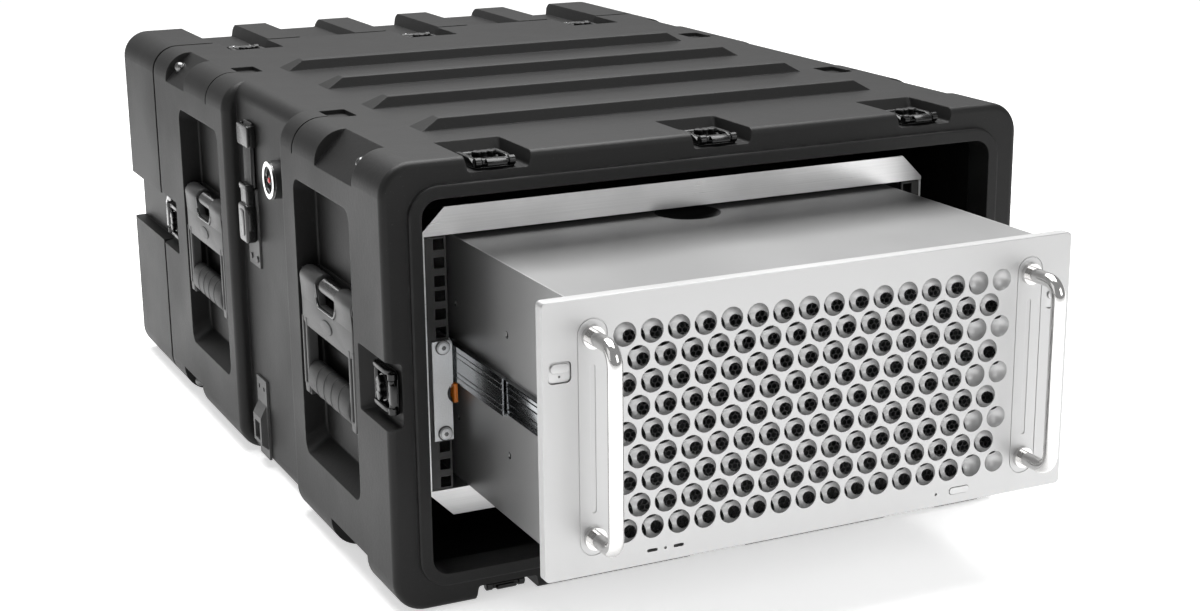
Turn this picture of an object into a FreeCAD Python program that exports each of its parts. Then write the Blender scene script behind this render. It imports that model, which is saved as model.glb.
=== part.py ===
# Shock-mounted 5U equipment rack case, front lid off, with a rack unit drawn out on its slides.
# Frame, in millimetres: X across the case, Y into the case from its open front, Z up.
# Origin: on the resting plane, under the middle of the whole object with the unit drawn out.
import FreeCAD, Part
import math
import os

os.makedirs("parts", exist_ok=True)
V = FreeCAD.Vector

# ---------------------------------------------------------------- driving dimensions
RACK_U = 44.45                     # one rack unit
UNITS = 5
RACK_H = UNITS * RACK_U            # clear height between the frame flanges
HOLE_X = 465.1 / 2                 # rack hole columns from the centre line
PANEL_W = 482.6                    # 19-inch front panel

BODY_W = 610.0                     # over the side bumpers
BODY_H = 380.0
BODY_L = 740.0
EDGE_R = 28.0                      # rounding of the four long edges
RIM_R = 6.0                        # rounding round the open ends
VALLEY_X = 291.0                   # half width of the body between the bumpers
VALLEY_R = 15.0
FRONT = -BODY_L / 2
REAR = BODY_L / 2
HALF_W = BODY_W / 2

BUMPER_FRONT_END = -98.0           # the front bumper runs from the rim to here
BUMPER_REAR_START = 84.0
BUMPER_END_R = 9.0

OPEN_X = 272.0                     # clear opening at each end, half width
OPEN_Z0 = 31.0
OPEN_Z1 = BODY_H - 31.0
OPEN_R = 15.0
TONGUE_W = 11.0                    # raised sealing tongue round each opening
TONGUE_H = 4.0
LIP_T = 26.0                       # depth of the lip behind each opening
CAVITY_X = 280.0                   # inside of the side walls
CAVITY_Z0 = 22.0
CAVITY_Z1 = BODY_H - 22.0

RIB_H = 10.0
RIB_BASE = 32.0
RIB_TOP = 14.0
RIB_REACH = 224.0                  # half length of a rib at its foot
RIB_END = 17.0                     # run of its sloping ends
RIB_FRONT_Y = -252.0               # front foot of the first rib
RIB_PITCH = 126.0
RIB_COUNT = 4

LATCH_X = 204.0                    # outer latches from the centre line
LATCH_POCKET_W = 53.0
LATCH_POCKET_L = 70.0
LATCH_POCKET_D = 13.0
LATCH_Z = BODY_H / 2               # side latches

VALVE_Y, VALVE_Z = -52.0, 309.0    # pressure valve, left side only
VALVE_R = 18.0
VALVE_SHANK_R = 11.0
STRAP_Y = 40.0                     # middle of the strap fittings in each side valley

EDGE_BOLT_Y = (-291.0, 301.0)
BOLT_R = 3.0
BOLT_DEPTH = 6.0

HANDLE_W = 143.0                   # cargo handle
HANDLE_POCKET_W = 152.0
HANDLE_POCKET_D = 21.0
HANDLE_POCKET_Z = (70.0, 329.0)
HANDLE_Y = (-215.0, 188.0)         # centres of the front and rear handles
HANDLE_AXIS_Z = 240.0
HANDLE_AXIS_X = 295.5
HANDLE_BARREL_R = 9.0
HANDLE_PIN_R = 3.0
HANDLE_DROP = 108.0                # from the pin to the lower edge of the handle
HANDLE_ARM_W = 15.0
HANDLE_LUG_Y = (71.8, 73.0)        # bracket lugs, from the middle of the handle

LID_GAP = 0.8
LID_DEPTH = 142.0
LID_WALL = 14.0                    # the lid's rear wall, ribs included
LID_GROOVE = 8.5                   # depth of the grooves between the latches' ones
LID_VALLEY = 6.0                   # depth of the valleys down the lid's rear face
GASKET_Y = REAR + TONGUE_H + 0.4   # face of the lid's seal
GASKET_T = 5.0

RAIL_Y = FRONT + 65.0              # front face of the front rack rails
RACK_Z0 = (BODY_H - RACK_H) / 2
RACK_Z1 = RACK_Z0 + RACK_H
FRAME_X = 247.5                    # outside of the frame's side plates
FRAME_T = 2.5
FLANGE_H = 24.0
FLANGE_CUT = 21.0
RAIL_W = 18.0
RAIL_T = 2.5
SQUARE_HOLE = 9.5
FRAME_CLEAR = 1.0                  # flange to rack space

DRAWER_OUT = 218.5                 # how far the rack unit is drawn out
PANEL_T = 10.0
PANEL_H = 221.0
PANEL_BACK = RAIL_Y - DRAWER_OUT
PANEL_FRONT = PANEL_BACK - PANEL_T
CHASSIS_HALF = 215.0
CHASSIS_L = 560.0
SHEET = 1.5
RECESS_R = 60.0                    # finger recess pressed in the cover
RECESS_D = 8.0
CHASSIS_Z0 = RACK_Z0 + 3.0
CHASSIS_Z1 = RACK_Z1 - 3.0
GRILLE_PITCH = 22.97
GRILLE_ROW = 19.7
DISH_R = 9.7                       # half-round vents cut from both faces of the panel
GRILLE_X0 = -173.0
GRILLE_Z0 = 268.0
GRILLE_COLS = 16
GRILLE_ROWS = 9
PULL_X = 200.0
PULL_Z = (110.0, 270.0)
PULL_R = 6.0
PULL_REACH = 38.0

SLIDE_H = 32.0
SLIDE_GAP = 9.0                    # chassis side to the slide's outer face

# The body is drawn about its own middle; save() moves everything so that the origin is
# halfway between the pull handles and the back of the lid.
ORIGIN_Y = -(PANEL_FRONT - PULL_REACH - PULL_R + REAR + LID_DEPTH) / 2


# ---------------------------------------------------------------- helpers
def block(x0, x1, y0, y1, z0, z1):
    return Part.makeBox(x1 - x0, y1 - y0, z1 - z0, V(x0, y0, z0))


def slab_y(x0, x1, z0, z1, radius, y0, y1):
    """A rounded rectangle in X and Z, drawn out from y0 to y1."""
    solid = block(x0, x1, y0, y1, z0, z1)
    long_edges = [e for e in solid.Edges if e.BoundBox.YLength > 0.5 * (y1 - y0)]
    return solid.makeFillet(radius, long_edges)


def rod(start, end, radius):
    line = V(*end) - V(*start)
    return Part.makeCylinder(radius, line.Length, V(*start), line)


def prism(points, direction):
    """The closed outline through the points, drawn out along direction."""
    corners = [V(*p) for p in points]
    wire = Part.makePolygon(corners + [corners[0]])
    return Part.Face(wire).extrude(V(*direction))


def loft(*outlines):
    wires = [Part.makePolygon([V(*p) for p in o] + [V(*o[0])]) for o in outlines]
    return Part.makeLoft(wires, True, True)


def fuse(shapes):
    return shapes[0].multiFuse(shapes[1:]).removeSplitter()


def mirror_x(shape):
    return shape.mirror(V(0, 0, 0), V(1, 0, 0))


def mirror_y(shape):
    return shape.mirror(V(0, 0, 0), V(0, 1, 0))


def mirror_z(shape):
    """Turned upside down about the mid-height of the case."""
    return shape.mirror(V(0, 0, BODY_H / 2), V(0, 0, 1))


def end_edges(solid, y):
    return [e for e in solid.Edges
            if abs(e.BoundBox.YMin - y) < 0.01 and abs(e.BoundBox.YMax - y) < 0.01]


def soften(solid, radius, test):
    """Rounds the edges that pass the test."""
    return solid.makeFillet(radius, [e for e in solid.Edges if test(e.BoundBox)])


def save(name, shapes):
    shape = shapes[0] if len(shapes) == 1 else Part.makeCompound(shapes)
    shape = shape.translated(V(0, ORIGIN_Y, 0))
    for solid in shape.Solids:
        assert solid.isValid(), name
    shape.exportStep("parts/%s.step" % name)


# ---------------------------------------------------------------- case body
def bumper_block(y0, y1, r0, r1):
    solid = slab_y(-HALF_W, HALF_W, 0, BODY_H, EDGE_R, y0, y1)
    solid = solid.makeFillet(r0, end_edges(solid, y0))
    return solid.makeFillet(r1, end_edges(solid, y1))


def top_rib(y):
    z0, z1 = BODY_H - 2.0, BODY_H + RIB_H
    lean = RIB_END * 2.0 / RIB_H
    foot = [(-RIB_REACH - lean, y - 1, z0), (RIB_REACH + lean, y - 1, z0),
            (RIB_REACH + lean, y + RIB_BASE + 2, z0), (-RIB_REACH - lean, y + RIB_BASE + 2, z0)]
    reach = RIB_REACH - RIB_END
    crown = [(-reach, y + 4, z1), (reach, y + 4, z1),
             (reach, y + 4 + RIB_TOP, z1), (-reach, y + 4 + RIB_TOP, z1)]
    return soften(loft(foot, crown), 1.5, lambda b: b.ZMin > z1 - 0.01)


def latch_pocket():
    """The front pocket on the top face, centred on X = 0."""
    y1 = FRONT + LATCH_POCKET_L
    half = LATCH_POCKET_W / 2
    solid = loft(
        [(-half, FRONT - 9, BODY_H - LATCH_POCKET_D), (half, FRONT - 9, BODY_H - LATCH_POCKET_D),
         (half, y1 - 9, BODY_H - LATCH_POCKET_D), (-half, y1 - 9, BODY_H - LATCH_POCKET_D)],
        [(-half - 3, FRONT - 9, BODY_H + 2), (half + 3, FRONT - 9, BODY_H + 2),
         (half + 3, y1, BODY_H + 2), (-half - 3, y1, BODY_H + 2)])
    return soften(solid, 3.0, lambda b: b.ZMax < BODY_H - 5 or b.ZLength > 5 and b.YMax > FRONT)


def at_every_latch(shape):
    """Copies of a shape made for the top front middle latch to the 16 latch places."""
    places = [shape.translated(V(x, 0, 0)) for x in (-LATCH_X, 0, LATCH_X)]
    side = shape.copy()
    side.rotate(V(0, 0, BODY_H / 2), V(0, 1, 0), 90)
    side.translate(V(HALF_W - BODY_H / 2, 0, 0))
    front = places + [mirror_z(p) for p in places] + [mirror_x(side), side]
    return front + [mirror_y(p) for p in front]


def handle_pocket(y):
    z0, z1 = HANDLE_POCKET_Z
    half = HANDLE_POCKET_W / 2
    floor_x = -HALF_W + HANDLE_POCKET_D
    mouth_x = -HALF_W - 4.0
    low = 16.0
    solid = loft(
        [(floor_x, y - half + 1, z0 + low), (floor_x, y + half - 1, z0 + low),
         (floor_x, y + half - 1, z1 - 3), (floor_x, y - half + 1, z1 - 3)],
        [(mouth_x, y - half, z0), (mouth_x, y + half, z0),
         (mouth_x, y + half, z1), (mouth_x, y - half, z1)])
    corners = soften(solid, 12.0, lambda b: b.XLength > 5)
    return soften(corners, 2.0, lambda b: b.XMin > floor_x - 0.01)


def edge_chamfer(y0, y1):
    """The flat cut across the rounded top left edge of a bumper."""
    reach = EDGE_R + 1.5
    top, side = BODY_H + 12, -HALF_W - 12
    corner = [(-HALF_W + reach + 12, y0, top), (side, y0, BODY_H - reach - 12), (side, y0, top)]
    return prism(corner, (0, y1 - y0, 0))


def strap_recess(y0, y1):
    """A shallow slot in the top face beside a bumper, and the groove over the edge to it."""
    slot = block(-270, -246, y0, y1, BODY_H - 4, BODY_H + 12)
    slot = soften(slot, 3.0, lambda b: b.ZLength > 5)
    keep = slab_y(-HALF_W + 2.2, HALF_W - 2.2, 2.2, BODY_H - 2.2, EDGE_R - 2.2, y0, y1)
    groove = block(-HALF_W - 6, -262, y0 + 8, y0 + 11, 350, BODY_H + 6).cut(keep)
    return [slot, groove]


def edge_bolt_seats():
    """Where the dome bolts sit on the top left edge chamfers, and the outward direction there."""
    half_cut = (EDGE_R + 1.5) / 2
    seats = [V(-HALF_W + half_cut, y, BODY_H - half_cut) for y in EDGE_BOLT_Y]
    return seats, V(-1, 0, 1).normalize()


def case_shell():
    front_block = bumper_block(FRONT, BUMPER_FRONT_END, RIM_R, BUMPER_END_R)
    rear_block = bumper_block(BUMPER_REAR_START, REAR, BUMPER_END_R, RIM_R)
    middle = slab_y(-VALLEY_X, VALLEY_X, 0, BODY_H, VALLEY_R, FRONT + 30, REAR - 30)
    body = fuse([front_block, middle, rear_block])
    tongue = slab_y(-OPEN_X - TONGUE_W, OPEN_X + TONGUE_W, OPEN_Z0 - TONGUE_W, OPEN_Z1 + TONGUE_W,
                    OPEN_R + TONGUE_W, FRONT - TONGUE_H, REAR + TONGUE_H)
    for y in (FRONT - TONGUE_H, REAR + TONGUE_H):
        tongue = tongue.makeFillet(2.0, end_edges(tongue, y))
    body = fuse([body, tongue] + [top_rib(RIB_FRONT_Y + i * RIB_PITCH) for i in range(RIB_COUNT)])

    cuts = [slab_y(-OPEN_X, OPEN_X, OPEN_Z0, OPEN_Z1, OPEN_R, FRONT - 20, REAR + 20),
            slab_y(-CAVITY_X, CAVITY_X, CAVITY_Z0, CAVITY_Z1, 20.0, FRONT + LIP_T, REAR - LIP_T)]
    cuts += at_every_latch(latch_pocket())
    left = [handle_pocket(y) for y in HANDLE_Y]
    for y0, y1 in ((-302, -205), (236, 312)):
        left += [edge_chamfer(y0, y1), mirror_z(edge_chamfer(y0, y1))]
    left += strap_recess(-150, -112) + strap_recess(140, 178)
    cuts += left + [mirror_x(s) for s in left]
    cuts.append(rod((-HALF_W, VALVE_Y, VALVE_Z), (-CAVITY_X + 10, VALVE_Y, VALVE_Z), VALVE_SHANK_R + 0.1))
    seats, out = edge_bolt_seats()
    holes = [rod(seat - out * BOLT_DEPTH, seat + out * 5, BOLT_R + 0.1) for seat in seats]
    holes += [mirror_z(h) for h in holes]
    cuts += holes + [mirror_x(h) for h in holes]
    for i in range(RIB_COUNT):
        # Each rib on top has a channel under the case, for stacking.
        y = RIB_FRONT_Y + i * RIB_PITCH
        cuts.append(block(-RIB_REACH - 8, RIB_REACH + 8, y - 3, y + RIB_BASE + 3, -5, RIB_H + 1))
    return body.cut(cuts).removeSplitter()


# ---------------------------------------------------------------- rear lid and its seal
def lid_groove(x, half, depth):
    """A groove with sloping sides along the lid's top face."""
    y0, y1 = REAR - 5, REAR + LID_DEPTH + 5
    z = BODY_H - depth
    section = [(x - half, y0, z), (x + half, y0, z),
               (x + half + 5.5, y0, BODY_H + 2), (x - half - 5.5, y0, BODY_H + 2)]
    return prism(section, (0, y1 - y0, 0))


def rear_lid():
    y0 = REAR + LID_GAP
    end = REAR + LID_DEPTH
    block_out = slab_y(-HALF_W, HALF_W, 0, BODY_H, EDGE_R, y0, end)
    block_out = block_out.makeFillet(6.0, end_edges(block_out, end))
    inner_x = OPEN_X + TONGUE_W + 1.0
    mouth = slab_y(-inner_x, inner_x, OPEN_Z0 - TONGUE_W - 1, OPEN_Z1 + TONGUE_W + 1, OPEN_R + TONGUE_W,
                   y0 - 5, GASKET_Y + GASKET_T)
    inner = slab_y(-OPEN_X, OPEN_X, OPEN_Z0, OPEN_Z1, OPEN_R, y0, end - LID_WALL)
    # The latches close on the floors of the deeper grooves.
    deep = [lid_groove(x, 27.5, LATCH_POCKET_D) for x in (-LATCH_X, 0, LATCH_X)]
    shallow = [lid_groove(x, 29.0, LID_GROOVE) for x in (-LATCH_X / 2, LATCH_X / 2)]
    grooves = deep + shallow + [mirror_z(g) for g in deep + shallow]
    side = block(-HALF_W - 5, -HALF_W + LATCH_POCKET_D, y0 - 5, end + 5, LATCH_Z - 27, LATCH_Z + 27)
    valleys = [prism([(x - 26, end - LID_VALLEY, -2), (x + 26, end - LID_VALLEY, -2),
                      (x + 32, end + 3, -2), (x - 32, end + 3, -2)], (0, 0, BODY_H + 4))
               for x in (-LATCH_X, -LATCH_X / 2, 0, LATCH_X / 2, LATCH_X)]
    return block_out.cut([mouth, inner, side, mirror_x(side)] + grooves + valleys).removeSplitter()


def lid_gasket():
    """Seal on the step inside the lid, where the body's tongue presses."""
    y1 = GASKET_Y + GASKET_T
    outer = slab_y(-OPEN_X - TONGUE_W, OPEN_X + TONGUE_W, OPEN_Z0 - TONGUE_W, OPEN_Z1 + TONGUE_W,
                   OPEN_R + TONGUE_W - 1, GASKET_Y, y1)
    inner = slab_y(-OPEN_X - 2, OPEN_X + 2, OPEN_Z0 - 2, OPEN_Z1 + 2, OPEN_R, GASKET_Y - 1, y1 + 1)
    return outer.cut(inner)


# ---------------------------------------------------------------- rack frame
def frame_plate_top():
    z0 = RACK_Z1 + FRAME_CLEAR
    deck = block(-FRAME_X, FRAME_X, RAIL_Y, -RAIL_Y, z0, z0 + FRAME_T)
    x, cut = FRAME_X, FLANGE_CUT
    zt = z0 + FLANGE_H
    outline = [(-x, 0, z0), (x, 0, z0), (x, 0, zt - cut), (x - cut, 0, zt),
               (-x + cut, 0, zt), (-x, 0, zt - cut)]
    flange = prism(outline, (0, FRAME_T, 0)).translated(V(0, RAIL_Y, 0))
    return fuse([deck, flange, mirror_y(flange)])


def frame_side_left():
    return block(-FRAME_X, -FRAME_X + FRAME_T, RAIL_Y + 0.5, -RAIL_Y - 0.5,
                 RACK_Z0 - FRAME_CLEAR, RACK_Z1 + FRAME_CLEAR)


def rack_rail_left():
    x0 = -FRAME_X + FRAME_T
    x1 = x0 + RAIL_W + 1.0
    face = block(x0, x1, RAIL_Y, RAIL_Y + RAIL_T, RACK_Z0, RACK_Z1)
    web = block(x0, x0 + RAIL_T, RAIL_Y, RAIL_Y + 28, RACK_Z0, RACK_Z1)
    holes = []
    half = SQUARE_HOLE / 2
    for unit in range(UNITS):
        for step in (6.35, 22.225, 38.1):
            z = RACK_Z0 + unit * RACK_U + step
            holes.append(block(-HOLE_X - half, -HOLE_X + half, RAIL_Y - 1, RAIL_Y + RAIL_T + 1,
                               z - half, z + half))
    return fuse([face, web]).cut(holes)


def shock_mounts():
    """Rubber bobbins between the frame's sides and the case walls, and the studs through them."""
    rubber, studs = [], []
    for y in (-205.0, 205.0):
        for z in (RACK_Z0 + 34, RACK_Z1 - 34):
            waist = Part.makeCylinder(15, 8, V(-CAVITY_X, y, z), V(1, 0, 0))
            body = Part.makeCone(15, 12, CAVITY_X - FRAME_X - 10, V(-CAVITY_X + 8, y, z), V(1, 0, 0))
            cap = Part.makeCylinder(14, 2, V(-FRAME_X - 2, y, z), V(1, 0, 0))
            bore = rod((-CAVITY_X - 1, y, z), (-FRAME_X + 1, y, z), 4.0)
            rubber.append(fuse([waist, body, cap]).cut(bore))
            shank = rod((-CAVITY_X + 1, y, z), (-FRAME_X - 0.1, y, z), 3.9)
            studs.append(shank)
    return rubber + [mirror_x(s) for s in rubber], studs + [mirror_x(s) for s in studs]


# ---------------------------------------------------------------- cargo handles
def handle_left(y):
    """Grey frame: split barrel, plate, two slotted arms."""
    half = HANDLE_W / 2
    ax, az = -HANDLE_AXIS_X, HANDLE_AXIS_Z
    gap = 26.0
    parts = []
    for sign in (-1, 1):
        inner, outer = y + sign * gap, y + sign * half
        parts.append(rod((ax, min(inner, outer), az), (ax, max(inner, outer), az), HANDLE_BARREL_R))
    x0, x1 = ax - 7.5, ax - 1.5
    plate = prism([(x0, y - half + 6, az - 2), (x0, y - gap, az - 2), (x0, y - gap + 6, az - 16),
                   (x0, y + gap - 6, az - 16), (x0, y + gap, az - 2), (x0, y + half - 6, az - 2),
                   (x0, y + half - 6, az - 42), (x0, y - half + 6, az - 42)], (x1 - x0, 0, 0))
    parts.append(plate)
    bottom = az - HANDLE_DROP
    for sign in (-1, 1):
        y0 = y + sign * (half - HANDLE_ARM_W / 2) - HANDLE_ARM_W / 2
        arm = block(x0, x1 + 2, y0, y0 + HANDLE_ARM_W, bottom, az)
        slot_y = y0 + HANDLE_ARM_W / 2
        slot = block(x0 - 1, x0 + 3, slot_y - 1.8, slot_y + 1.8, bottom + 8, az - 36)
        parts.append(arm.cut(slot))
    frame = fuse(parts)
    bore = rod((ax, y - half - 1, az), (ax, y + half + 1, az), HANDLE_PIN_R + 0.05)
    return frame.cut(bore)


def grip_left(y):
    """Ribbed rubber sleeve between the arms."""
    half = HANDLE_W / 2 - HANDLE_ARM_W
    ax = -HANDLE_AXIS_X - 1.0
    z = HANDLE_AXIS_Z - HANDLE_DROP + 17
    core = Part.makeCylinder(12.0, 2 * half, V(ax, y - half, z), V(0, 1, 0))
    stretch = FreeCAD.Matrix()
    stretch.A11, stretch.A33 = 0.84, 1.3
    core.translate(V(-ax, 0, -z))
    oval = core.transformGeometry(stretch)
    oval.translate(V(ax, 0, z))
    grooves = []
    for i in range(4):
        yy = y - 30 + i * 20
        grooves.append(block(ax - 14, ax - 8.6, yy - 1.2, yy + 1.2, z - 12, z + 13))
    return oval.cut(grooves)


def handle_bracket_left(y):
    floor = -HALF_W + HANDLE_POCKET_D
    ax, az = -HANDLE_AXIS_X, HANDLE_AXIS_Z
    near, far = HANDLE_LUG_Y
    plate = block(floor - 1.2, floor, y - far, y + far, az - 22, az + 7)
    lugs = [block(ax - 6, floor, y + near, y + far, az - 7, az + 7),
            block(ax - 6, floor, y - far, y - near, az - 7, az + 7)]
    bore = rod((ax, y - far - 1, az), (ax, y + far + 1, az), HANDLE_PIN_R)
    return fuse([plate] + lugs).cut(bore)


def handle_pin_left(y):
    reach = HANDLE_LUG_Y[1]
    return rod((-HANDLE_AXIS_X, y - reach, HANDLE_AXIS_Z), (-HANDLE_AXIS_X, y + reach, HANDLE_AXIS_Z),
               HANDLE_PIN_R)


def handle_spring_left(y):
    """Torsion spring round the pin, as its closed-wound sleeve with coil rings."""
    rings = []
    count = 16
    for i in range(count):
        centre = V(-HANDLE_AXIS_X, y - 22.5 + i * 3.0, HANDLE_AXIS_Z)
        rings.append(Part.makeTorus(5.6, 1.3, centre, V(0, 1, 0)))
    sleeve = rod((-HANDLE_AXIS_X, y - 24, HANDLE_AXIS_Z), (-HANDLE_AXIS_X, y + 24, HANDLE_AXIS_Z), 5.6)
    bore = rod((-HANDLE_AXIS_X, y - 30, HANDLE_AXIS_Z), (-HANDLE_AXIS_X, y + 30, HANDLE_AXIS_Z), 4.3)
    return fuse([sleeve] + rings).cut(bore)


# ---------------------------------------------------------------- latches
LATCH_FLOOR = BODY_H - LATCH_POCKET_D
LATCH_Y = FRONT + 30.0             # centre of the turning wing
LATCH_PIN_R = 1.6


def latch_base():
    """Base plate with side cheeks and the draw hook, on the floor of the top front middle pocket."""
    z = LATCH_FLOOR
    plate = block(-19, 19, LATCH_Y - 20, LATCH_Y + 24, z, z + 2)
    cheeks = [block(s * 18 - 1, s * 18 + 1, LATCH_Y - 20, LATCH_Y + 16, z, z + 7) for s in (-1, 1)]
    stop = block(-14, 14, LATCH_Y + 19, LATCH_Y + 22, z, z + 6)
    link = block(-13, 13, LATCH_Y - 26, LATCH_Y - 13, z + 3.6, z + 6.0)
    hook = rod((-17, LATCH_Y - 25, z + 5), (17, LATCH_Y - 25, z + 5), 3.2)
    neck = block(-6, 6, LATCH_Y - 20, LATCH_Y - 14, z + 1, z + 5)
    boss = Part.makeCylinder(3.4, 3.4, V(0, LATCH_Y, z))
    pin = Part.makeCylinder(LATCH_PIN_R, 8.6, V(0, LATCH_Y, z))
    body = fuse([plate, stop, link, hook, neck, boss, pin] + cheeks)
    screws = [Part.makeCylinder(2.0, 3, V(s * 15, LATCH_Y + 21, z - 0.5)) for s in (-1, 1)]
    return body.cut(screws)


def latch_wing():
    """Round cam plate with its raised butterfly grip."""
    z = LATCH_FLOOR + 3.6
    disc = Part.makeCylinder(12.0, 3.0, V(0, LATCH_Y, z))
    grip = block(-11.0, 11.0, LATCH_Y - 2.2, LATCH_Y + 2.2, z + 2.5, z + 7.4)
    grip = soften(grip, 1.5, lambda b: b.ZLength > 3)
    hub = Part.makeCylinder(4.5, 6.0, V(0, LATCH_Y, z))
    bites = [Part.makeCylinder(3.2, 5, V(sx * 8.0, LATCH_Y + sy * 8.0, z - 1))
             for sx in (-1, 1) for sy in (-1, 1)]
    bore = Part.makeCylinder(LATCH_PIN_R + 0.05, 12, V(0, LATCH_Y, z - 1))
    return fuse([disc, grip, hub]).cut(bites + [bore])


def latch_keeper():
    """Keeper plate on the lid, on the floor of the notch, made for the top front middle latch."""
    z = LATCH_FLOOR
    y0 = FRONT - LID_GAP
    plate = block(-19, 19, y0 - 26, y0 - 3, z, z + 2)
    catch = block(-13, 13, y0 - 6, y0 - 3, z, z + 5)
    screws = [Part.makeCylinder(2.0, 4, V(s * 10.5, y0 - 17, z - 1)) for s in (-1, 1)]
    return fuse([plate, catch]).cut(screws)


# ---------------------------------------------------------------- valley fittings
def valve():
    """Pressure valve: flanged body through the wall, bright ring, push button."""
    x = -VALLEY_X
    flange = rod((x, VALVE_Y, VALVE_Z), (x - 9, VALVE_Y, VALVE_Z), VALVE_R)
    shank = rod((x, VALVE_Y, VALVE_Z), (-CAVITY_X + 6, VALVE_Y, VALVE_Z), VALVE_SHANK_R)
    dish = rod((x - 7, VALVE_Y, VALVE_Z), (x - 10, VALVE_Y, VALVE_Z), 12.0)
    bore = rod((x - 10, VALVE_Y, VALVE_Z), (x + 1, VALVE_Y, VALVE_Z), 5.05)
    body = fuse([flange, shank]).cut([dish, bore])
    ring = rod((x - 9, VALVE_Y, VALVE_Z), (x - 11.5, VALVE_Y, VALVE_Z), VALVE_R - 0.5)
    ring = ring.cut(rod((x - 8, VALVE_Y, VALVE_Z), (x - 13, VALVE_Y, VALVE_Z), 13.0))
    button = rod((x - 3, VALVE_Y, VALVE_Z), (x - 10, VALVE_Y, VALVE_Z), 5.0)
    return body, ring, button


def strap_fittings():
    """Left side: loop bar, webbing, buckle, upper plate, lower hook plate."""
    x = -VALLEY_X
    loop = block(x - 9, x, STRAP_Y - 18, STRAP_Y + 16, 326, 346)
    loop = loop.cut(block(x - 6, x, STRAP_Y - 14, STRAP_Y + 12, 320, 350))
    web = block(x - 3.4, x - 1.2, STRAP_Y - 12.5, STRAP_Y + 10.5, 288, 350)
    shell = block(x - 13, x - 2, STRAP_Y - 14, STRAP_Y + 12, 230, 287.5)
    shell = soften(shell, 3.0, lambda b: b.XMax < x - 12.9 or b.XLength > 5)
    windows = [block(x - 14, x - 5, STRAP_Y + s, STRAP_Y + s + 5, 248, 268) for s in (-16, 9)]
    buckle = shell.cut(windows)
    plate = block(x - 1.8, x, STRAP_Y - 16, STRAP_Y + 20, 206, 284)
    ears = [rod((x - 3.2, STRAP_Y + dy, 214), (x - 1.8, STRAP_Y + dy, 214), 3.0) for dy in (-9, 11)]
    hook = block(x - 2.5, x, STRAP_Y - 14, STRAP_Y + 18, 8, 90)
    rise = prism([(x - 2.5, 0, 64), (x - 9, 0, 52), (x - 9, 0, 24), (x - 2.5, 0, 18)], (0, 26, 0))
    hook = fuse([hook, rise.translated(V(0, STRAP_Y - 11, 0))])
    hook = hook.cut(block(x - 10, x - 4, STRAP_Y - 6, STRAP_Y + 10, 28, 46))
    hook = hook.cut([rod((x - 4, STRAP_Y + dy, 80), (x - 1, STRAP_Y + dy, 80), 2.4) for dy in (-6, 10)])
    return loop, web, buckle, [plate] + ears, hook


def edge_bolts():
    """Dome-head bolts through the edge chamfers, close to the end rims."""
    bolts = []
    seats, out = edge_bolt_seats()
    for seat in seats:
        washer = Part.makeCylinder(7.0, 1.4, seat, out)
        shank = Part.makeCylinder(BOLT_R, BOLT_DEPTH + 1, seat - out * BOLT_DEPTH, out)
        head = Part.makeSphere(5.6, seat + out * 1.4, out, 0, 90, 360)
        bolts.append(fuse([washer, shank, head]))
    bolts += [mirror_z(b) for b in bolts]
    return bolts + [mirror_x(b) for b in bolts]


# ---------------------------------------------------------------- slides
SLIDE_Z0 = BODY_H / 2 - SLIDE_H / 2
SLIDE_Z1 = SLIDE_Z0 + SLIDE_H
SLIDE_REAR = 250.0


def slide_channel(x_back, x_mouth, y0, y1, height, sheet):
    """A C-shaped slide member, its web at x_back and its lips reaching to x_mouth."""
    z0 = BODY_H / 2 - height / 2
    z1 = z0 + height
    lo, hi = min(x_back, x_mouth), max(x_back, x_mouth)
    step = sheet if x_mouth > x_back else -sheet
    web = block(min(x_back, x_back + step), max(x_back, x_back + step), y0, y1, z0, z1)
    lips = [block(lo, hi, y0, y1, z0, z0 + sheet), block(lo, hi, y0, y1, z1 - sheet, z1)]
    return fuse([web] + lips)


def slides_left():
    outer_x = -CHASSIS_HALF - SLIDE_GAP
    outer = slide_channel(outer_x, outer_x + 5.2, RAIL_Y + 4, SLIDE_REAR, SLIDE_H + 8, 1.2)
    middle_out = DRAWER_OUT / 2
    middle_y = RAIL_Y - middle_out
    middle = slide_channel(outer_x + 1.9, outer_x + 5.8, middle_y + 4, SLIDE_REAR - 30 - middle_out,
                           SLIDE_H, 1.2)
    inner = slide_channel(-CHASSIS_HALF, -CHASSIS_HALF - 4.6, PANEL_BACK + 4, PANEL_BACK + CHASSIS_L - 30,
                          SLIDE_H - 4, 1.2)
    holes = [block(-CHASSIS_HALF - 4, -CHASSIS_HALF + 2, PANEL_BACK + 7, PANEL_BACK + 10.2,
                   BODY_H / 2 + z - 1.6, BODY_H / 2 + z + 1.6) for z in (-9, -3, 3, 9)]
    return outer, middle, inner.cut(holes)


BRACKET_Z0 = RACK_Z0 + RACK_U
BRACKET_Z1 = BRACKET_Z0 + 2 * RACK_U - 0.8


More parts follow.
